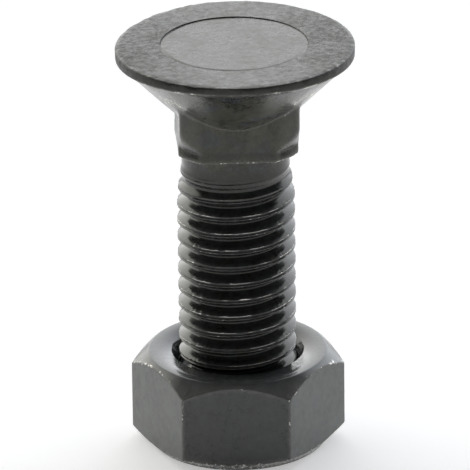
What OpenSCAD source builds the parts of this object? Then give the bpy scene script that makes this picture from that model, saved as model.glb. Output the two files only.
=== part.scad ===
// Plow bolt with its hex nut, standing on the nut with the flat head up.
// Millimetres, +Z up along the bolt, z = 0 on the face that the nut stands on.
// Two pieces: the forged bolt with its rolled thread, and the nut that runs on it.

/* [Head] */
// Diameter of the flat head over its rim
head_d = 20.1; // [18:0.1:22]
// Height of the upright rim below the top face
rim_h = 0.7; // [0.5:0.05:1.5]
// Radius of the rim's rolled upper edge
rim_round = 0.2; // [0.1:0.05:0.4]
// Included angle of the countersunk cone
cone_angle = 90; // [80:1:100]
// Diameter of the disc that is pressed into the top face
disc_d = 12.2; // [8:0.1:15]
// Depth of that disc
disc_depth = 0.12; // [0.05:0.01:0.3]

/* [Square neck] */
// Width of the neck across its flats
neck_w = 10; // [9.6:0.05:10.4]
// Radius on the four upright corners of the neck
neck_corner_r = 0.5; // [0.1:0.05:0.6]
// Distance from the top face to the foot of the neck
neck_reach = 8.8; // [8.2:0.1:12]
// Diameter of the round foot, where the corners have tapered away
foot_d = 11.6; // [10.8:0.1:12.6]
// Height of that round foot
foot_h = 0.85; // [0.5:0.05:1.5]

/* [Shank and thread] */
// Length of the bolt from its top face to its tip
bolt_l = 35; // [32:1:60]
// Diameter of the plain shank, about the pitch diameter that a thread is rolled from
shank_d = 9.05; // [8.9:0.05:9.2]
// Length of plain shank between the neck and the first turn
shank_l = 1.6; // [1:0.1:6]
// Diameter over the thread's crests
crest_d = 9.9; // [9.74:0.02:9.96]
// Advance of the thread in one turn
pitch = 1.5; // [1.25:0.05:1.6]
// Width of the flat on each crest
crest_flat = 0.28; // [0.2:0.02:0.36]
// Depth of the thread from crest to root
thread_depth = 0.83; // [0.7:0.01:0.9]
// Turns over which the thread fades into the shank
fade_turns = 1.5; // [0.5:0.1:2]
// Angle about the bolt at which the helix starts
thread_turn = 60; // [0:5:355]
// Straight sides that stand for one turn of the thread
turn_sides = 36; // [24:4:48]

/* [Nut] */
// Width of the nut across its flats
nut_w = 15.65; // [15.5:0.05:16]
// Height of the nut
nut_h = 8; // [7.6:0.1:8.4]
// Diameter of the flat ring on top of the nut, inside the chamfer
ring_d = 15; // [14.4:0.1:15.4]
// Slope of the upper chamfer on the nut's corners
chamfer = 42; // [15:1:45]
// Diameter of the round washer face that the nut stands on
washer_face_d = 14.7; // [14.6:0.1:15.4]
// Height of that washer face
washer_face_h = 0.5; // [0.2:0.05:0.6]
// Slope of the lower chamfer, above the washer face
base_chamfer = 22; // [15:1:30]
// Diameter of the hole, which clears the thread's crests
nut_hole_d = 10.3; // [10.2:0.05:10.4]
// Diameter of the countersink at either end of the hole
nut_sink_d = 11; // [10.5:0.1:11.5]
// Angle between the nut's flats and the flats of the square neck
nut_turn = -5; // [-30:1:30]
// How far the tip of the bolt stays inside the nut
tip_inset = 0.6; // [0.1:0.1:1]

/* [Hidden] */
$fn = 96;

black_oxide = [0.24, 0.24, 0.23];
black_oxide_nut = [0.27, 0.28, 0.27];

// Heights along the bolt
tip_z = tip_inset;
top_z = tip_z + bolt_l;
rim_z = top_z - rim_h;
foot_z = top_z - neck_reach;
shank_z = foot_z - shank_l;

// Head and neck
head_r = head_d / 2;
cone_slope = tan(cone_angle / 2);
overlap = 1;
cone_tip_r = neck_w / 2 - overlap;
cone_tip_z = rim_z - (head_r - cone_tip_r) / cone_slope;
neck_half_diagonal = neck_w / sqrt(2);
neck_top_z = rim_z - (head_r - neck_half_diagonal) / cone_slope + overlap / 2;
foot_r = foot_d / 2;
foot_edge = 0.2;
shank_r = shank_d / 2;
shank_fillet = 0.4;
round_steps = 6;

// Thread: one pitch of the profile holds four corners, two on the crest and two at the root
crest_r = crest_d / 2;
root_r = crest_r - thread_depth;
flank_run = thread_depth * tan(30);
profile_run = [0, crest_flat, crest_flat + flank_run, pitch - flank_run];
profile_r = [crest_r, crest_r, root_r, root_r];
corners = len(profile_run);
tip_relief = 0.25;
tip_r = root_r - tip_relief;
fade_step = 0.06;
core_r = shank_r - fade_step;
fade_end_z = shank_z;
fade_start_z = shank_z - fade_turns * pitch;
rod_top_z = shank_z + overlap / 2;
lead_in_turns = 1.5;
rod_start_z = tip_z - lead_in_turns * pitch;
rod_turns = ceil((rod_top_z - rod_start_z) / pitch) + 1;
last_corner = corners * rod_turns;
column_size = last_corner + corners + 1;

// Nut
nut_corner_r = nut_w / sqrt(3);
ring_r = ring_d / 2;
chamfer_h = (nut_corner_r - ring_r) * tan(chamfer);
washer_face_r = washer_face_d / 2;
base_chamfer_h = (nut_corner_r - washer_face_r) * tan(base_chamfer);
nut_hole_r = nut_hole_d / 2;
nut_sink_r = nut_sink_d / 2;
nut_sink_h = nut_sink_r - nut_hole_r;

// Points of an arc about a centre, from one angle to another
function arc(center, r, from, to, steps = round_steps) = [
    for (i = [0 : steps])
        let (a = from + (to - from) * i / steps)
            center + r * [cos(a), sin(a)]
];

// Height of a thread corner, counted up a column that stands at one angle of the turn
function corner_z(column, corner) =
    rod_start_z
    + pitch * (floor(corner / corners) + column / turn_sides)
    + profile_run[corner % corners];

// Radius of a thread corner: the profile, thinned at the tip and faded out at the shank
function corner_r(z, corner) =
    let (
        fade = min(1, max(0, (z - fade_start_z) / (fade_end_z - fade_start_z))),
        full_r = profile_r[corner % corners]
    )
    min(full_r + (core_r - full_r) * fade, tip_r + max(0, z - tip_z));

// One corner in space, held between the tip and the top of the threaded rod
function thread_point(column, corner) =
    let (
        z = min(rod_top_z, max(tip_z, corner_z(column, corner))),
        r = corner_r(z, corner),
        a = 360 * column / turn_sides
    )
    [r * cos(a), r * sin(a), z];

// Number of a corner in the list of points: those held at an end share one point
function corner_index(column, corner) =
    let (
        lowest = max([for (k = [0 : column_size - 1]) if (corner_z(column, k) <= tip_z) k]),
        highest = min([for (k = [0 : column_size - 1]) if (corner_z(column, k) >= rod_top_z) k])
    )
    column * column_size + min(highest, max(lowest, corner));

function all_different(t) = t[0] != t[1] && t[1] != t[2] && t[2] != t[0];

// The helix: each column of corners joins the next, and the last joins the first one pitch higher
module threaded_rod() {
    points = [
        for (column = [0 : turn_sides - 1])
            for (corner = [0 : column_size - 1])
                thread_point(column, corner)
    ];
    index = [
        for (column = [0 : turn_sides - 1])
            [for (corner = [0 : column_size - 1]) corner_index(column, corner)]
    ];
    walls = [
        for (column = [0 : turn_sides - 1])
            let (
                next = (column + 1) % turn_sides,
                lift = next == 0 ? corners : 0
            )
            for (corner = [0 : last_corner - 1])
                let (
                    a = index[column][corner],
                    b = index[column][corner + 1],
                    c = index[next][corner + 1 + lift],
                    d = index[next][corner + lift]
                )
                for (triangle = [[a, b, c], [a, c, d]])
                    if (all_different(triangle)) triangle
    ];
    tip_face = [for (column = [0 : turn_sides - 1]) index[column][0]];
    top_face = [for (column = [turn_sides - 1 : -1 : 0]) index[column][column_size - 1]];
    polyhedron(points, concat(walls, [tip_face, top_face]), convexity = 10);
}

// Flat head with its pressed disc and rolled edge, and the cone below it
module head() {
    outline = concat(
        [
            [0, top_z - disc_depth],
            [disc_d / 2, top_z - disc_depth],
            [disc_d / 2 + disc_depth / 2, top_z]
        ],
        arc([head_r - rim_round, top_z - rim_round], rim_round, 90, 0),
        [
            [head_r, rim_z],
            [cone_tip_r, cone_tip_z],
            [0, cone_tip_z]
        ]
    );
    rotate_extrude() polygon(outline);
}

// Square neck that keeps the bolt from turning, its corners tapering to a round foot
module square_neck() {
    reach = neck_half_diagonal + overlap;
    intersection() {
        translate([0, 0, foot_z])
            linear_extrude(neck_top_z - foot_z)
                rounded_square(neck_w, neck_corner_r);
        rotate_extrude()
            polygon([
                [0, foot_z],
                [foot_r - foot_edge, foot_z],
                [foot_r, foot_z + foot_edge],
                [foot_r, foot_z + foot_h],
                [reach, foot_z + foot_h + reach - foot_r],
                [reach, top_z],
                [0, top_z]
            ]);
    }
}

// Square with round corners, made as two bars and four discs
module rounded_square(w, r) {
    square([w, w - 2 * r], center = true);
    square([w - 2 * r, w], center = true);
    for (x = [-1, 1])
        for (y = [-1, 1])
            translate([x, y] * (w / 2 - r)) circle(r);
}

// Plain shank with a fillet under the neck
module shank() {
    outline = concat(
        [[0, shank_z], [shank_r, shank_z]],
        arc([shank_r + shank_fillet, foot_z - shank_fillet], shank_fillet, 180, 90),
        [[shank_r + shank_fillet, foot_z + overlap], [0, foot_z + overlap]]
    );
    rotate_extrude() polygon(outline);
}

module plow_bolt() {
    color(black_oxide) {
        head();
        square_neck();
        shank();
        rotate(thread_turn) threaded_rod();
    }
}

// Hex nut, chamfered on both ends, standing on its washer face, with a countersunk hole
module hex_nut() {
    color(black_oxide_nut)
        rotate(nut_turn)
            difference() {
                intersection() {
                    cylinder(h = nut_h, r = nut_corner_r, $fn = 6);
                    rotate_extrude()
                        polygon([
                            [0, 0],
                            [washer_face_r, 0],
                            [washer_face_r, washer_face_h],
                            [nut_corner_r, washer_face_h + base_chamfer_h],
                            [nut_corner_r, nut_h - chamfer_h],
                            [ring_r, nut_h],
                            [0, nut_h]
                        ]);
                }
                nut_hole();
            }
}

module nut_hole() {
    rotate_extrude()
        polygon([
            [0, -overlap],
            [nut_sink_r + overlap, -overlap],
            [nut_hole_r, nut_sink_h],
            [nut_hole_r, nut_h - nut_sink_h],
            [nut_sink_r + overlap, nut_h + overlap],
            [0, nut_h + overlap]
        ]);
}

plow_bolt();
hex_nut();
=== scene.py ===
"""Looks of a plow bolt and its hex nut: blackened forged steel, rubbed bright on edges and thread crests,
with highlights and shade painted into its colour in a few places.
"""

import math
from types import SimpleNamespace

import bpy
import numpy as np
from mathutils import Matrix, Vector, noise


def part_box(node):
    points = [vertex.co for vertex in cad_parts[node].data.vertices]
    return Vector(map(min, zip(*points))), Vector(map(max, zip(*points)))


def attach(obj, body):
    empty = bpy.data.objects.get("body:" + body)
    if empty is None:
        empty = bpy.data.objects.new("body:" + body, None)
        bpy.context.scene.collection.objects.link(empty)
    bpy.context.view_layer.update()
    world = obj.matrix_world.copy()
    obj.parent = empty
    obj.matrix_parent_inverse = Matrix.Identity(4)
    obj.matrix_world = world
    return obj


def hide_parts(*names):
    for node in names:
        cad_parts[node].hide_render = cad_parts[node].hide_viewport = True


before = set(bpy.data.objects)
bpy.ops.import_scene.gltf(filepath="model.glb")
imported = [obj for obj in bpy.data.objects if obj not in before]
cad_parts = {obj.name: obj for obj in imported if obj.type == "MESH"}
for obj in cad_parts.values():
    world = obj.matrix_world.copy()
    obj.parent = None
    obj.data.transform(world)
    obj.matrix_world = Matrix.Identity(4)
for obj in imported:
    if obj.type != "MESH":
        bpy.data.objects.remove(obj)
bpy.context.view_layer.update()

# Sizes are in millimetres here, and become metres when a mesh is written
MM = 0.001
bolt_low, bolt_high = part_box("plow_bolt")
nut_low, nut_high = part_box("hex_nut")

# Head: the rim's lower edge sags on two sides, its outline has one flat spot, and both edges are uneven
TIP_Z = bolt_low.z / MM
TOP_Z = bolt_high.z / MM
HEAD_R = bolt_high.x / MM
RIM_H = 0.7
RIM_Z = TOP_Z - RIM_H
RIM_SAG = 0.3
RIM_FLAT = 0.38
RIM_FLAT_TURN = math.radians(140)
RIM_WORN_BAND = 0.17
RIM_LOWER_INSET = 0.03
RIM_UPPER_INSET = 0.02
RIM_LOWER_ROUND = 0.1
RIM_ROUND = 0.08
TEAR_DEPTH = 0.05
CHIP_DEPTH = 0.05
EDGE_SETBACK = 0.07
RING_INSETS = (0.4, 0.5)
CONE_SLOPE = math.tan(math.radians(45))
CONE_TOP_IN = 0.35
CONE_TOP_BELOW = 0.3
DISC_R = 6.1
DISC_DEPTH = 0.055
DISC_ROUND = 0.08
DISC_INSETS = (0.3, 0.6)
GROOVE_DEPTH = 0.06
GROOVE_EDGE = 0.08
GROOVE_FLOOR = 0.02
GROOVE_TURN = math.radians(-135)
GROOVE_ROUND = 0.03

# Square neck, a little off centre, and its round foot, hollow under the corners of the square
NECK_HALF = 5.0
NECK_SHIFT = 0.16
NECK_CORNER_R = 0.6
NECK_REACH = 8.8
NECK_WORN_BAND = 1.2
FOOT_Z = TOP_Z - NECK_REACH
FOOT_R = 5.8
FOOT_H = 0.85
FOOT_SHIFT_SHARE = 0.6
FOOT_EDGE = 0.16
FOOT_WORN_BAND = 0.3
FOOT_WORN_ROUND = 0.1
FOOT_RAGGED = 0.03
HOLLOW_DEPTH = 0.15
HOLLOW_BELOW = 0.05
HOLLOW_ABOVE = 0.12
HOLLOW_ROUND = 0.14
TAPER_SLOPE = 1.1
TAPER_RISE = 0.25
TAPER_ROUND = 0.8
CREASE_ROUND = 0.16
CREASE_CORNER_ROUND = 0.5
CREASE_WIDTH = 0.16
# How strongly the line where the cone meets the neck is made to look rubbed: a painted highlight
CREASE_HIGHLIGHT = 0.7
CREASE_INSET = 1

# Shank and thread
SHANK_R = 4.525
SHANK_L = 1.6
SHANK_Z = FOOT_Z - SHANK_L
SHANK_FILLET = 0.4
PITCH = 1.5
CREST_R = 4.95
CREST_HALF = 0.14
THREAD_DEPTH = 0.83
ROOT_R = CREST_R - THREAD_DEPTH
THREAD_TURN = math.radians(60)
LEAD_IN_TURNS = 1.5
FIRST_CREST_Z = TIP_Z - LEAD_IN_TURNS * PITCH + CREST_HALF
FADE_TURNS = 2.0
TIP_RELIEF = 0.25
TIP_R = ROOT_R - TIP_RELIEF
THREAD_SATIN = 0.15
CREST_SATIN = 0.2
THREAD_GRAIN = -0.12
RUBBED_TURN = math.radians(-65)

# Nut
NUT_Z = nut_low.z / MM
NUT_H = nut_high.z / MM
NUT_W = 15.65
NUT_HALF = NUT_W / 2
NUT_CORNER_R = 0.35
NUT_CORNER_REACH = (NUT_HALF + 1.08, NUT_HALF + 1.16)
NUT_TURN = math.radians(-5)
NUT_SIDE = math.radians(60)
FLAT_TURN = NUT_TURN + math.radians(30)
NUT_WORN_BAND = 0.4
RING_R = 7.5
RING_SLOPE = math.tan(math.radians(42))
RING_ROUND = 0.08
EDGE_ROUND = 0.12
WASHER_FACE_R = 7.35
WASHER_FACE_H = 0.5
WASHER_FACE_ROUND = 0.08
WASHER_FACE_FLARE = 0.28
WASHER_FACE_LIP = 0.12
LIP_ROUND = 0.2
BASE_SLOPE = math.tan(math.radians(22))
BASE_UNEVEN = 0.25
BASE_ROUND = 0.1
SINK_R = 5.6
SINK_SLOPE = 0.58
NUT_MINOR_R = 4.25
THREAD_PLAY = 0.06
THREAD_START = (0.9, 2.5)

# Meshes: columns on each side of the neck's square and of the nut, closer together at the corners,
# and steps in the rounding of an edge, which takes up less than half of the faces beside it
NECK_COLUMNS = 64
NUT_COLUMNS = 48
CROWDING = 0.72
ROUND_STEPS = 4
EDGE_SHARE = 0.48
NO_LENGTH = 1e-9
WELD_DIGITS = 5
SPARE_TURNS = 3
SPARE_TURNS_BELOW = 2
LOOKS = ("wear_and_highlight", "satin_and_shade", "grain")

# A Mix node's sockets for colours, by number, because its sockets for values have the same names
MIX_SHARE = 0
MIX_FIRST = 6
MIX_SECOND = 7
MIX_RESULT = 2


class Socket:
    """A node's output. Sums and products on it add Math nodes to its tree."""

    def __init__(self, finish, output):
        self.finish = finish
        self.output = output

    def maths(self, operation, first, second):
        return self.finish.node("ShaderNodeMath", {"operation": operation}, {0: first, 1: second})

    def __add__(self, other):
        return self.maths("ADD", self, other)

    def __radd__(self, other):
        return self.maths("ADD", other, self)

    def __sub__(self, other):
        return self.maths("SUBTRACT", self, other)

    def __rsub__(self, other):
        return self.maths("SUBTRACT", other, self)

    def __mul__(self, other):
        return self.maths("MULTIPLY", self, other)

    def __rmul__(self, other):
        return self.maths("MULTIPLY", other, self)

    def least(self, other):
        return self.maths("MINIMUM", self, other)

    def ease(self, low, high):
        """0 below low, 1 above high, and a smooth step between."""
        settings = {"interpolation_type": "SMOOTHSTEP"}
        inputs = {"Value": self, "From Min": low, "From Max": high}
        return self.finish.node("ShaderNodeMapRange", settings, inputs)


class Finish:
    """A material's or the world's node tree, and the one way to add a node to it."""

    def __init__(self, tree):
        self.tree = tree
        tree.nodes.clear()

    def node(self, kind, settings=None, inputs=None, output=0):
        made = self.tree.nodes.new(kind)
        for name, value in (settings or {}).items():
            setattr(made, name, value)
        for name, value in (inputs or {}).items():
            if isinstance(value, Socket):
                self.tree.links.new(value.output, made.inputs[name])
            else:
                made.inputs[name].default_value = value
        return Socket(self, made.outputs[output]) if made.outputs else None

    def mix(self, share, first, second):
        """A colour between two others."""
        inputs = {MIX_SHARE: share, MIX_FIRST: first, MIX_SECOND: second}
        return self.node("ShaderNodeMix", {"data_type": "RGBA"}, inputs, MIX_RESULT)

    def noise(self, place, scale, detail=2.0, rough=0.5):
        inputs = {"Vector": place, "Scale": scale, "Detail": detail, "Roughness": rough}
        return self.node("ShaderNodeTexNoise", None, inputs)


def new_material(name):
    material = bpy.data.materials.new(name)
    material.use_nodes = True
    return material, Finish(material.node_tree)


# Blackened steel: an oxide skin, rubbed to a polish and nicked through to bare metal; the same polish and
# bare metal also paint highlights in a few places
OXIDE_IOR = 1.5
POLISHED_OXIDE_AND_HIGHLIGHT = (0.19, 0.186, 0.175, 1)
BARE_STEEL_AND_GLINTS = (0.55, 0.54, 0.51, 1)
BUMP_STRENGTH = 0.8


def blackened_steel(name, black, forged_grey, rolled_grey, gloss_tint, unevenness, scale_depth):
    """Oxide on steel, from oily black to dry grey, which is warmer where the skin is coarse.
    Three values on the mesh set the looks: how rubbed the skin is, which in places also paints highlights;
    how dry it is, which in places also paints shade; and how coarse it is."""
    material, finish = new_material(name)
    place = finish.node("ShaderNodeTexCoord", output="Object")
    place = finish.node("ShaderNodeVectorMath", {"operation": "SCALE"}, {0: place, "Scale": 1 / MM})
    wear_and_highlight, satin_and_shade, grain = (
        finish.node("ShaderNodeAttribute", {"attribute_name": look}, output="Fac") for look in LOOKS)
    stains = finish.noise(place, scale=0.55)
    patches = finish.noise(place, scale=0.35, detail=3.0)
    mottle = finish.noise(place, scale=1.6, detail=4.0, rough=0.65)
    skin = finish.noise(place, scale=2.4, detail=5.0, rough=0.72)
    nicks = finish.noise(place, scale=4.4, detail=3.0, rough=0.7)
    pits = finish.noise(place, scale=3.1, detail=1.0)

    blotches = patches.ease(0.4, 0.6) * 0.45 + mottle.ease(0.38, 0.62) * 0.55
    speckle = skin.ease(0.34, 0.66)
    # Less dryness gives darker oxide; on the nut's front and back flats and on the head ring's left and right
    # this paints shade
    dryness_and_shade = satin_and_shade * (1 - unevenness / 2 + (blotches * 0.75 + speckle * 0.25) * unevenness)
    dry_oxide = finish.mix((stains - grain + 0.1).ease(0.45, 0.63), (*forged_grey, 1), (*rolled_grey, 1))
    oxide = finish.mix(dryness_and_shade.least(1.0), (*black, 1), dry_oxide)
    # Rubbed places take the polished colour, and bare steel where nicked; beside the neck's corners, on the
    # cone's sides, along the cone's crease and on the nut's washer face this also paints highlights
    oxide = finish.mix((wear_and_highlight * 0.8).least(1.0), oxide, POLISHED_OXIDE_AND_HIGHLIGHT)
    bare_metal_and_glints = (nicks + wear_and_highlight * 0.4).ease(0.9, 1.0)
    colour = finish.mix(bare_metal_and_glints, oxide, BARE_STEEL_AND_GLINTS)

    roughness = 0.08 + blotches * 0.12 + satin_and_shade * 0.28 + grain * (0.16 + speckle * 0.24)
    roughness = roughness * (1 - (wear_and_highlight * 0.4).least(0.4))
    hollows = pits.ease(0.71, 0.77) * (0.4 + grain * 2.0)
    fine_height = skin * (0.3 + grain * 1.7) + mottle * (0.3 + grain * 1.8)
    height = fine_height + patches * (0.8 + grain * 2.5) - hollows
    relief = {"Height": height, "Strength": BUMP_STRENGTH, "Distance": scale_depth * MM}
    bump = finish.node("ShaderNodeBump", None, relief)
    inputs = {"Base Color": colour, "Roughness": roughness, "Metallic": bare_metal_and_glints, "Normal": bump}
    inputs.update({"IOR": OXIDE_IOR, "Specular Tint": (*gloss_tint, 1)})
    shader = finish.node("ShaderNodeBsdfPrincipled", None, inputs)
    finish.node("ShaderNodeOutputMaterial", None, {"Surface": shader})
    return material


def column_angles(sides, per_side, turn):
    """Angles round the axis, closer together at the corners that lie half way along each side."""
    t = np.arange(per_side) / per_side
    step = 2 * math.pi / sides
    one_side = step * (t + CROWDING * np.sin(2 * math.pi * t) / (2 * math.pi))
    return np.concatenate([one_side + step * side for side in range(sides)]) + turn


def polygon_radius(angles, sides, half_width, corner_r, turn):
    """Distance from the axis to a regular polygon with round corners, one flat facing the turn angle."""
    step = 2 * math.pi / sides
    off_flat = (angles - turn + step / 2) % step - step / 2
    flat = half_width / np.cos(off_flat)
    off_corner = step / 2 - np.abs(off_flat)
    centre = (half_width - corner_r) / math.cos(step / 2)
    inside = np.maximum(corner_r**2 - (centre * np.sin(off_corner))**2, 0)
    corner = centre * np.cos(off_corner) + np.sqrt(inside)
    reach = half_width * math.tan(step / 2) - corner_r * math.tan(step / 2)
    on_flat = half_width * np.abs(np.tan(off_flat)) <= reach
    return np.where(on_flat, flat, corner)


def smooth_step(value, low, high):
    t = np.clip((value - low) / (high - low), 0, 1)
    return t * t * (3 - 2 * t)


def roughened(points, scale, seed):
    """Smooth noise from -1 to 1 at each point, given in millimetres."""
    shift = Vector((seed * 7.3, seed * 3.1, seed * 5.7))
    return np.array([noise.noise(Vector(p) * scale + shift) for p in points])


def circle_points(angles):
    return np.stack([np.cos(angles), np.sin(angles), 0 * angles], 1)


def softened(corners):
    """The stations of an outline, with its corners rounded. Each corner is a station and the length of edge
    that its rounding takes up on either side. The first and the last stay as they are."""
    stations = [station for station, tangent in corners]
    smooth = [stations[0]]
    for before, (corner, tangent), after in zip(stations, corners[1:], stations[2:]):
        if np.all(tangent == 0):
            smooth.append(corner)
            continue
        tangent = np.reshape(tangent, (-1, 1))
        back, ahead = before - corner, after - corner
        back_length = np.maximum(np.linalg.norm(back[:, :2], axis=1, keepdims=True), NO_LENGTH)
        ahead_length = np.maximum(np.linalg.norm(ahead[:, :2], axis=1, keepdims=True), NO_LENGTH)
        start = corner + back * np.minimum(tangent / back_length, EDGE_SHARE)
        end = corner + ahead * np.minimum(tangent / ahead_length, EDGE_SHARE)
        for s in np.linspace(0, 1, ROUND_STEPS + 1):
            smooth.append((1 - s)**2 * start + 2 * s * (1 - s) * corner + s**2 * end)
    return smooth + [stations[-1]]


class Shell:
    """A closed mesh grown ring by ring round the Z axis, with three look values at each point: how rubbed
    (also painted highlights), how dry (also painted shade) and how coarse the skin is.
    """

    def __init__(self, angles):
        self.angles = angles
        self.count = len(angles)
        self.points = []
        self.looks = []
        self.faces = []

    def add(self, points, looks):
        first = len(self.points)
        self.points.extend(points)
        self.looks.extend(looks)
        return np.arange(first, first + len(points))

    def station(self, r, z, wear_and_highlight=0.0, satin_and_shade=0.0, grain=0.0):
        """One place on the outline: distance from the axis, height and looks for each column."""
        return np.stack([np.broadcast_to(value, self.count) for value in (r, z, wear_and_highlight, satin_and_shade, grain)], 1)

    def ring(self, station):
        r, z = station[:, 0], station[:, 1]
        points = np.stack([r * np.cos(self.angles), r * np.sin(self.angles), z], 1)
        return self.add(points, station[:, 2:])

    def bridge(self, low, high):
        """Faces between two rings, facing out when the second is higher."""
        for i in range(self.count):
            j = (i + 1) % self.count
            self.faces.append((low[i], low[j], high[j], high[i]))

    def grow(self, start, stations):
        """Joins a ring to a new one at each of the stations, and returns the last."""
        for station in stations:
            ring = self.ring(station)
            self.bridge(start, ring)
            start = ring
        return start

    def cap(self, ring, z, upward):
        centre = self.add([(0, 0, z)], [self.looks[ring[0]]])[0]
        for i in range(self.count):
            j = (i + 1) % self.count
            edge = (ring[i], ring[j]) if upward else (ring[j], ring[i])
            self.faces.append((*edge, centre))

    def helix(self, run, thread, low_z, high_z, inward=False):
        """Rows that climb with the thread between two level rings, which are returned.
        run is the rows' heights within a pitch; thread gives their distance from the axis, wear and satin."""
        rows_per_turn = len(run)
        turns = math.ceil((high_z - low_z) / PITCH) + SPARE_TURNS
        rows = rows_per_turn * turns
        lead = PITCH * (self.angles - THREAD_TURN) / (2 * math.pi)
        first_turn = math.floor((low_z - FIRST_CREST_Z) / PITCH) - SPARE_TURNS_BELOW
        row = np.arange(rows + rows_per_turn + 1)
        row_z = FIRST_CREST_Z + PITCH * (first_turn + row // rows_per_turn) + run[row % rows_per_turn]
        z = row_z[None, :] + lead[:, None]
        held = np.clip(z, low_z, high_z)
        r, wear_and_highlight, satin_and_shade = thread(row % rows_per_turn, held, self.angles[:, None])
        points = np.stack([r * np.cos(self.angles)[:, None], r * np.sin(self.angles)[:, None], held], 2)
        looks = np.stack([wear_and_highlight.ravel(), satin_and_shade.ravel(), np.full(z.size, THREAD_GRAIN)], 1)
        index = self.add(points.reshape(-1, 3), looks).reshape(z.shape)
        lowest = (z <= low_z).sum(1) - 1
        highest = (z < high_z).sum(1)
        row = np.clip(row[None, :], lowest[:, None], highest[:, None])
        index = np.take_along_axis(index, row, 1)
        for i in range(self.count):
            j = (i + 1) % self.count
            lift = rows_per_turn if j == 0 else 0
            for k in range(rows):
                corners = [index[i, k], index[j, k + lift], index[j, k + 1 + lift], index[i, k + 1]]
                face = list(dict.fromkeys(corners))
                if len(face) > 2:
                    self.faces.append(tuple(face[::-1] if inward else face))
        return index[:, 0], index[:, -1]

    def finished(self, name, material):
        """The mesh object, in metres, its points welded, smooth-shaded with its flats kept flat."""
        used = np.unique(np.concatenate(self.faces))
        rounded = np.round(np.array(self.points, float)[used], WELD_DIGITS)
        points, kept, merged = np.unique(rounded, axis=0, return_index=True, return_inverse=True)
        place = dict(zip(used.tolist(), merged.ravel().tolist()))
        faces = [list(dict.fromkeys(place[int(i)] for i in face)) for face in self.faces]
        mesh = bpy.data.meshes.new(name)
        mesh.from_pydata((points * MM).tolist(), [], [face for face in faces if len(face) > 2])
        looks = np.array(self.looks, np.float32)[used[kept]]
        for column, look in enumerate(LOOKS):
            attribute = mesh.attributes.new(look, "FLOAT", "POINT")
            attribute.data.foreach_set("value", np.ascontiguousarray(looks[:, column]))
        mesh.shade_smooth()
        mesh.materials.append(material)
        made = bpy.data.objects.new(name, mesh)
        bpy.context.scene.collection.objects.link(made)
        weighted = made.modifiers.new("flat_faces", "WEIGHTED_NORMAL")
        weighted.keep_sharp = True
        return made


# One pitch of the rolled thread, from the middle of a crest: rolling leaves two fine lips on the crest
LIP_RUN = 0.145
HALF_PROFILE = [
    (0.0, CREST_R - 0.12),
    (0.05, CREST_R - 0.1),
    (0.11, CREST_R - 0.02),
    (LIP_RUN, CREST_R),
    (0.175, CREST_R - 0.02),
    (0.215, CREST_R - 0.09),
    (0.395, CREST_R - 0.42),
    (0.575, ROOT_R + 0.085),
    (0.65, ROOT_R + 0.018),
    (PITCH / 2, ROOT_R),
]
PROFILE = HALF_PROFILE + [(PITCH - run, r) for run, r in HALF_PROFILE[-2:0:-1]]
PROFILE_RUN = np.array([run for run, r in PROFILE])
PROFILE_R = np.array([r for run, r in PROFILE])
LIP_WIDTH = 0.075
UPPER_LIP = np.maximum(0, 1 - np.abs(PROFILE_RUN - LIP_RUN) / LIP_WIDTH)
LOWER_LIP = np.maximum(0, 1 - np.abs(PROFILE_RUN - PITCH + LIP_RUN) / LIP_WIDTH)
CREST_BAND = (CREST_R - 0.2, CREST_R - 0.12)
SCUFF_R = 5.0


def bolt_thread(row, z, angles):
    """Rolled thread, thinned at the tip, faded into the shank, its upper lips scuffed here and there."""
    full = np.broadcast_to(PROFILE_R[row], z.shape)
    fade = np.clip(1 - (SHANK_Z - z) / (FADE_TURNS * PITCH), 0, 1)
    r = full + (SHANK_R - full) * fade
    angle = np.broadcast_to(angles, z.shape)
    points = np.stack([SCUFF_R * np.cos(angle), SCUFF_R * np.sin(angle), z], 2).reshape(-1, 3)
    scuffs = roughened(points, scale=0.8, seed=1).reshape(z.shape)
    nicks = roughened(points, scale=3.5, seed=2).reshape(z.shape)
    lip = np.broadcast_to(UPPER_LIP[row] + LOWER_LIP[row], z.shape) * (1 - fade)
    rubbed_side = 0.5 + 0.5 * np.cos(angle - RUBBED_TURN)
    rubbed = smooth_step(scuffs + 0.3 * rubbed_side, 0.05, 0.4) * np.where(UPPER_LIP[row] > 0, 1, 0.3)
    wear_and_highlight = lip * (0.68 + 0.9 * rubbed + 0.35 * nicks)
    r = r - lip * (0.04 + 0.05 * rubbed) * smooth_step(nicks, 0.1, 0.5)
    r = np.minimum(r, TIP_R + z - TIP_Z)
    satin_and_shade = THREAD_SATIN + CREST_SATIN * smooth_step(full, *CREST_BAND) * (1 - fade)
    return r, np.maximum(wear_and_highlight, 0), satin_and_shade


def nut_thread(row, z, angles):
    """The nut's own thread: a little clear of the bolt's, growing out of the countersinks at both ends."""
    depth = np.minimum(z, NUT_H - z)
    bore = CREST_R + THREAD_PLAY
    full = np.maximum(PROFILE_R[row] + THREAD_PLAY, NUT_MINOR_R)
    r = bore + (full - bore) * smooth_step(depth, *THREAD_START)
    r = np.maximum(r, SINK_R - depth * SINK_SLOPE)
    return r, np.zeros(z.shape), np.full(z.shape, THREAD_SATIN)


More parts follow.
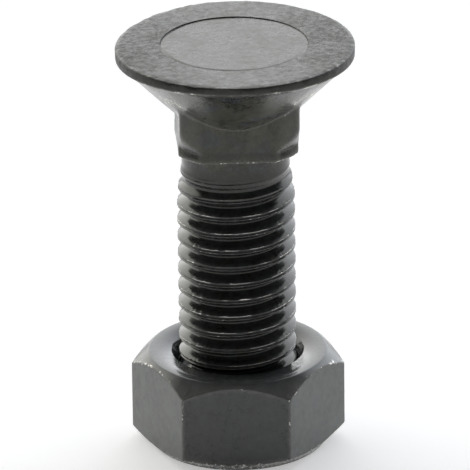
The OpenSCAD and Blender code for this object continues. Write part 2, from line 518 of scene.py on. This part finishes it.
def bolt_columns(angles):
    """What changes round the bolt: the square of the neck, the uneven rim, and the rough edges.
    corner and shoulder are 1 at the square's corners, and flank is 1 where the cone faces left or right."""
    around = circle_points(angles)
    square = polygon_radius(angles, sides=4, half_width=NECK_HALF, corner_r=NECK_CORNER_R, turn=0.0)
    off_centre = NECK_SHIFT * np.cos(angles)
    neck_r = square + off_centre
    deeper_side = 0.5 + 0.5 * np.cos(angles - GROOVE_TURN)
    wavy = 0.5 * roughened(around * DISC_R, scale=0.5, seed=7)
    coarse_chips = roughened(around * HEAD_R, scale=1.3, seed=6)
    fine_chips = roughened(around * HEAD_R, scale=2.9, seed=8)
    return SimpleNamespace(
        corner=smooth_step(square - FOOT_R, -0.1, 0.6),
        shoulder=smooth_step(square - NECK_HALF, 0.2, 1.3),
        flank=np.cos(angles)**2,
        foot_r=np.minimum(square, FOOT_R) + FOOT_SHIFT_SHARE * off_centre,
        neck_r=neck_r,
        rim_r=HEAD_R - RIM_FLAT * np.maximum(0, np.cos(angles - RIM_FLAT_TURN))**5,
        cone_z=RIM_Z - (HEAD_R - neck_r) / CONE_SLOPE,
        groove_z=TOP_Z - DISC_DEPTH - GROOVE_DEPTH * (0.3 + deeper_side + wavy),
        torn=roughened(around * HEAD_R, scale=1.1, seed=4),
        chipped=coarse_chips + 0.5 * fine_chips,
        ragged=roughened(around * FOOT_R, scale=1.9, seed=5),
    )


def neck_corners(station, column):
    """Shank, round foot and square neck, up to the crease where the cone starts."""
    corner, foot_r, neck_r = column.corner, column.foot_r, column.neck_r
    taper_z = FOOT_Z + FOOT_H
    taper_end = taper_z + np.maximum(neck_r - foot_r, 0) * TAPER_SLOPE + TAPER_RISE
    neck_look = {"wear_and_highlight": 0.5 * corner, "satin_and_shade": 0.55 - 0.3 * column.flank, "grain": 0.15}
    crease_look = {"wear_and_highlight": 0.3 * corner, "satin_and_shade": 0.6 - 0.45 * column.shoulder, "grain": 0.1}
    foot_edge = foot_r + FOOT_RAGGED * column.ragged
    hollow_r = foot_r - HOLLOW_DEPTH * corner
    return [
        (station(SHANK_R, SHANK_Z, satin_and_shade=0.5), 0),
        (station(SHANK_R, FOOT_Z, satin_and_shade=0.5, grain=0.1), SHANK_FILLET),
        (station(foot_edge, FOOT_Z, wear_and_highlight=1.3, satin_and_shade=0.3, grain=0.3), FOOT_EDGE),
        (station(foot_r, FOOT_Z + FOOT_WORN_BAND, wear_and_highlight=0.1, satin_and_shade=0.3, grain=0.2), FOOT_WORN_ROUND),
        (station(hollow_r, taper_z - HOLLOW_BELOW, satin_and_shade=0.1, grain=0.2), HOLLOW_ROUND),
        (station(foot_r, taper_z + HOLLOW_ABOVE, wear_and_highlight=0.1, satin_and_shade=0.2, grain=0.1), HOLLOW_ROUND),
        (station(neck_r, taper_end + HOLLOW_ABOVE, **neck_look), TAPER_ROUND),
        (station(neck_r, column.cone_z - NECK_WORN_BAND, **neck_look), 0),
        (station(neck_r, column.cone_z, **crease_look), CREASE_ROUND + CREASE_CORNER_ROUND * corner),
    ]


def head_corners(station, column):
    """Cone, rim, flat ring and pressed disc."""
    shoulder, flank, rim_r = column.shoulder, column.flank, column.rim_r
    shoulder_r = column.neck_r + NECK_WORN_BAND
    shoulder_z = column.cone_z + NECK_WORN_BAND / CONE_SLOPE
    cone_top_r = rim_r - CONE_TOP_IN - RIM_SAG * flank
    lower_z = RIM_Z - RIM_SAG * flank
    tear = TEAR_DEPTH * column.torn
    chip = CHIP_DEPTH * column.chipped
    disc_z = TOP_Z - DISC_DEPTH
    # Beside the neck's corners the cone is made rubbed and less dry, so lighter: a painted highlight
    shoulder_look = {"wear_and_highlight": 1.05 * shoulder, "satin_and_shade": 0.6 - 0.6 * shoulder, "grain": 0.2 - 0.2 * shoulder}
    # The cone is made rubbed and lighter on its left and right sides: a painted highlight where light wraps
    # round it, over a little wear all round
    cone_look = {"wear_and_highlight": 0.1 + 0.8 * flank, "satin_and_shade": 0.36, "grain": 0.05}
    torn_look = {"wear_and_highlight": 0.55 + 0.8 * smooth_step(column.torn, -0.2, 0.4), "satin_and_shade": 0.05, "grain": 0.8}
    chipped_look = {"wear_and_highlight": 0.25 + 0.85 * smooth_step(column.chipped, 0.0, 0.45), "satin_and_shade": 0.05, "grain": 1.0}
    # The flat ring is less dry, so darker, and coarser on its left and right than at the front and back:
    # painted shade
    ring_look = {"satin_and_shade": 0.25 - 0.1 * flank, "grain": 0.55 + 0.45 * flank}
    disc_look = {"satin_and_shade": 0.3, "grain": 0.35}
    return [
        (station(shoulder_r, shoulder_z, **shoulder_look), 0),
        (station(cone_top_r, lower_z - CONE_TOP_BELOW, **cone_look), 0),
        (station(rim_r - TEAR_DEPTH + tear, lower_z + tear, **torn_look), RIM_LOWER_ROUND),
        (station(rim_r - RIM_LOWER_INSET, lower_z + RIM_WORN_BAND, grain=0.8), 0),
        (station(rim_r - RIM_UPPER_INSET, TOP_Z - RIM_WORN_BAND, grain=0.9), 0),
        (station(rim_r - EDGE_SETBACK + chip, TOP_Z - EDGE_SETBACK + chip, **chipped_look), RIM_ROUND),
        (station(rim_r - RING_INSETS[0], TOP_Z, **ring_look), 0),
        (station(rim_r - RING_INSETS[1], TOP_Z, **ring_look), 0),
        (station(DISC_R + GROOVE_EDGE, TOP_Z, **ring_look), GROOVE_ROUND),
        (station(DISC_R + GROOVE_FLOOR, column.groove_z, satin_and_shade=0.3, grain=0.3), GROOVE_ROUND),
        (station(DISC_R - DISC_INSETS[0], disc_z, **disc_look), DISC_ROUND),
        (station(DISC_R - DISC_INSETS[1], disc_z, **disc_look), 0),
        (station(DISC_R / 2, disc_z, **disc_look), 0),
    ]


def paint_crease_highlight(stations, column):
    """Paints a highlight along the line where the cone meets the neck, a little weaker at the corners, by
    making it look rubbed.
    """
    for station in stations:
        nearness = np.maximum(0, 1 - np.abs(station[:, 1] - column.cone_z) / CREASE_WIDTH)
        under_head = station[:, 0] < HEAD_R - CREASE_INSET
        station[:, 2] += CREASE_HIGHLIGHT * (1 - 0.2 * column.corner) * (nearness * under_head)


def make_bolt(material):
    angles = column_angles(sides=4, per_side=NECK_COLUMNS, turn=0.0)
    column = bolt_columns(angles)
    shell = Shell(angles)
    tip, shank = shell.helix(PROFILE_RUN, bolt_thread, TIP_Z, SHANK_Z)
    inner = shell.ring(shell.station(TIP_R / 2, TIP_Z))
    shell.bridge(inner, tip)
    shell.cap(inner, TIP_Z, upward=False)
    corners = neck_corners(shell.station, column) + head_corners(shell.station, column)
    stations = softened(corners)[1:]
    paint_crease_highlight(stations, column)
    last = shell.grow(shank, stations)
    shell.cap(last, TOP_Z - DISC_DEPTH, upward=True)
    bolt = shell.finished("bolt_forging", material)
    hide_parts("plow_bolt")
    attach(bolt, "bolt")


def nut_corners(station, angles):
    """Washer face, lower chamfer, flats, upper chamfer and top ring, from one countersink to the other."""
    flats = polygon_radius(angles, sides=6, half_width=NUT_HALF, corner_r=NUT_CORNER_R, turn=FLAT_TURN)
    corner = smooth_step(flats, *NUT_CORNER_REACH)
    facing = FLAT_TURN + np.round((angles - NUT_TURN) / NUT_SIDE - 0.5) * NUT_SIDE
    chips = 0.42 * smooth_step(roughened(circle_points(angles) * NUT_HALF, scale=0.9, seed=9), 0.0, 0.5)
    uneven = BASE_UNEVEN * ((1 - np.cos(angles)) / 2)**4
    lip_r = WASHER_FACE_R + WASHER_FACE_FLARE
    lip_z = WASHER_FACE_H - WASHER_FACE_LIP
    base_z = WASHER_FACE_H + (flats - WASHER_FACE_R) * BASE_SLOPE - uneven
    edge_z = NUT_H - (flats - RING_R) * RING_SLOPE
    # The flats that face front and back get less dryness than the others, so their colour is darker: painted
    # shade, besides the worn corners
    side_look = {"wear_and_highlight": 0.87 * corner, "satin_and_shade": 0.95 - 0.56 * np.sin(facing)**2, "grain": 0.25}
    edge_look = {"wear_and_highlight": 0.86 + 0.8 * chips + 0.2 * corner, "satin_and_shade": 0.5, "grain": 0.1}
    return [
        (station(SINK_R, NUT_Z, satin_and_shade=0.1), 0),
        # The washer face and its lip are worn, and also made lighter than the wear alone would make them: a
        # painted reflection of a bright floor below
        (station(WASHER_FACE_R, NUT_Z, wear_and_highlight=0.84, satin_and_shade=0.9, grain=0.1), WASHER_FACE_ROUND),
        (station(lip_r, lip_z, wear_and_highlight=1.0, satin_and_shade=0.9, grain=0.1), LIP_ROUND),
        (station(flats, base_z, wear_and_highlight=0.95 + 0.5 * chips, satin_and_shade=0.6, grain=0.3), BASE_ROUND),
        (station(flats, base_z + NUT_WORN_BAND, **side_look), 0),
        (station(flats, edge_z - NUT_WORN_BAND, **side_look), 0),
        (station(flats, edge_z, **edge_look), EDGE_ROUND),
        (station(RING_R, NUT_H, wear_and_highlight=0.1, satin_and_shade=0.25), RING_ROUND),
        (station(SINK_R, NUT_H, wear_and_highlight=0.2, satin_and_shade=0.2), 0),
    ]


def make_nut(material):
    angles = column_angles(sides=6, per_side=NUT_COLUMNS, turn=FLAT_TURN)
    shell = Shell(angles)
    low, high = shell.helix(PROFILE_RUN, nut_thread, NUT_Z, NUT_H, inward=True)
    last = shell.grow(low, softened(nut_corners(shell.station, angles))[1:-1])
    shell.bridge(last, high)
    nut = shell.finished("nut_forging", material)
    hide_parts("hex_nut")
    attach(nut, "nut")


# Camera, as the photograph was taken: 470 pixels across, from slightly above, almost square to the neck
PHOTO_PX = 470
SENSOR_MM = 36.0
AZIMUTH = math.radians(-3.5)
ELEVATION = math.radians(22.9)
LEAN = math.radians(0.7)
DISTANCE = 650.0
PX_PER_MM = 11.92
AIM_Z = 17.6
AIM_RIGHT_PX = -1.55
AIM_UP_PX = 8.2
CLIP_M = (0.01, 100)


def place_camera():
    back = Vector((
        math.sin(AZIMUTH) * math.cos(ELEVATION),
        -math.cos(AZIMUTH) * math.cos(ELEVATION),
        math.sin(ELEVATION),
    ))
    level = Vector((math.cos(AZIMUTH), math.sin(AZIMUTH), 0))
    upright = back.cross(level)
    right = level * math.cos(LEAN) - upright * math.sin(LEAN)
    up = upright * math.cos(LEAN) + level * math.sin(LEAN)
    aim = Vector((0, 0, AIM_Z)) + right * (AIM_RIGHT_PX / PX_PER_MM) + up * (AIM_UP_PX / PX_PER_MM)
    data = bpy.data.cameras.new("camera")
    data.sensor_width = SENSOR_MM
    data.lens = PX_PER_MM * DISTANCE * SENSOR_MM / PHOTO_PX
    data.clip_start, data.clip_end = CLIP_M
    camera = bpy.data.objects.new("camera", data)
    turn = Matrix((right, up, back)).transposed().to_4x4()
    camera.matrix_world = Matrix.Translation((aim + back * DISTANCE) * MM) @ turn
    bpy.context.scene.collection.objects.link(camera)
    bpy.context.scene.camera = camera


# Studio: a bright backdrop round the far side and both flanks, a dimmer ceiling, and a dark room in front
BACKDROP_LEVEL = 2.5
SIDE_GAIN = -0.4
BACKDROP_EDGE = (0.16, 0.34)
CEILING_EDGE = (0.5, 0.9)
CEILING_LOSS = 0.5
ROOM_LEVEL = 0.07
TINT_EDGE = (-0.8, 0.8)
WARM_LEFT = (1.0, 0.985, 0.94, 1)
COOL_RIGHT = (0.95, 0.985, 1.05, 1)


def light_scene():
    world = bpy.data.worlds.new("studio")
    world.use_nodes = True
    bpy.context.scene.world = world
    finish = Finish(world.node_tree)
    direction = finish.node("ShaderNodeTexCoord", output="Generated")
    across, depth, height = (
        finish.node("ShaderNodeSeparateXYZ", None, {"Vector": direction}, axis) for axis in "XYZ")
    ceiling = 1 - height.ease(*CEILING_EDGE) * CEILING_LOSS
    backdrop = (BACKDROP_LEVEL + across * across * SIDE_GAIN) * ceiling
    level = ROOM_LEVEL + depth.ease(*BACKDROP_EDGE) * backdrop
    tint = finish.mix(across.ease(*TINT_EDGE), WARM_LEFT, COOL_RIGHT)
    sky = finish.node("ShaderNodeBackground", None, {"Color": tint, "Strength": level})
    finish.node("ShaderNodeOutputWorld", None, {"Surface": sky})


# Floor: pale and matt, lifted to white where the camera or a reflection sees it, with the shadow kept
FLOOR_REACH = 3.0
FLOOR_PAINT = (0.88, 0.88, 0.88, 1)
FLOOR_LIFT = 0.4


def make_floor():
    material, finish = new_material("pale_floor")
    paint = finish.node("ShaderNodeBsdfDiffuse", None, {"Color": FLOOR_PAINT})
    seen = finish.node("ShaderNodeLightPath", output="Is Camera Ray")
    mirrored = finish.node("ShaderNodeLightPath", output="Is Glossy Ray")
    through = finish.node("ShaderNodeLightPath", output="Is Transmission Ray")
    white = (seen + mirrored + through).least(1.0) * FLOOR_LIFT
    lift = finish.node("ShaderNodeEmission", None, {"Color": white})
    both = finish.node("ShaderNodeAddShader", None, {0: paint, 1: lift})
    finish.node("ShaderNodeOutputMaterial", None, {"Surface": both})
    mesh = bpy.data.meshes.new("floor")
    corners = [(x * FLOOR_REACH, y * FLOOR_REACH, 0) for x, y in ((-1, -1), (1, -1), (1, 1), (-1, 1))]
    mesh.from_pydata(corners, [], [(0, 1, 2, 3)])
    mesh.materials.append(material)
    floor = bpy.data.objects.new("floor", mesh)
    bpy.context.scene.collection.objects.link(floor)


bpy.context.scene.view_settings.view_transform = "Standard"
place_camera()
light_scene()
make_floor()
bolt_oxide = blackened_steel(
    "bolt_oxide",
    black=(0.011, 0.011, 0.010),
    forged_grey=(0.1, 0.097, 0.075),
    rolled_grey=(0.08, 0.088, 0.097),
    gloss_tint=(1.0, 1.0, 0.92),
    unevenness=2.0,
    scale_depth=0.03,
)
nut_oxide = blackened_steel(
    "nut_oxide",
    black=(0.009, 0.0095, 0.0095),
    forged_grey=(0.26, 0.268, 0.26),
    rolled_grey=(0.25, 0.268, 0.272),
    gloss_tint=(0.97, 1.0, 0.98),
    unevenness=0.6,
    scale_depth=0.012,
)
make_bolt(bolt_oxide)
make_nut(nut_oxide)
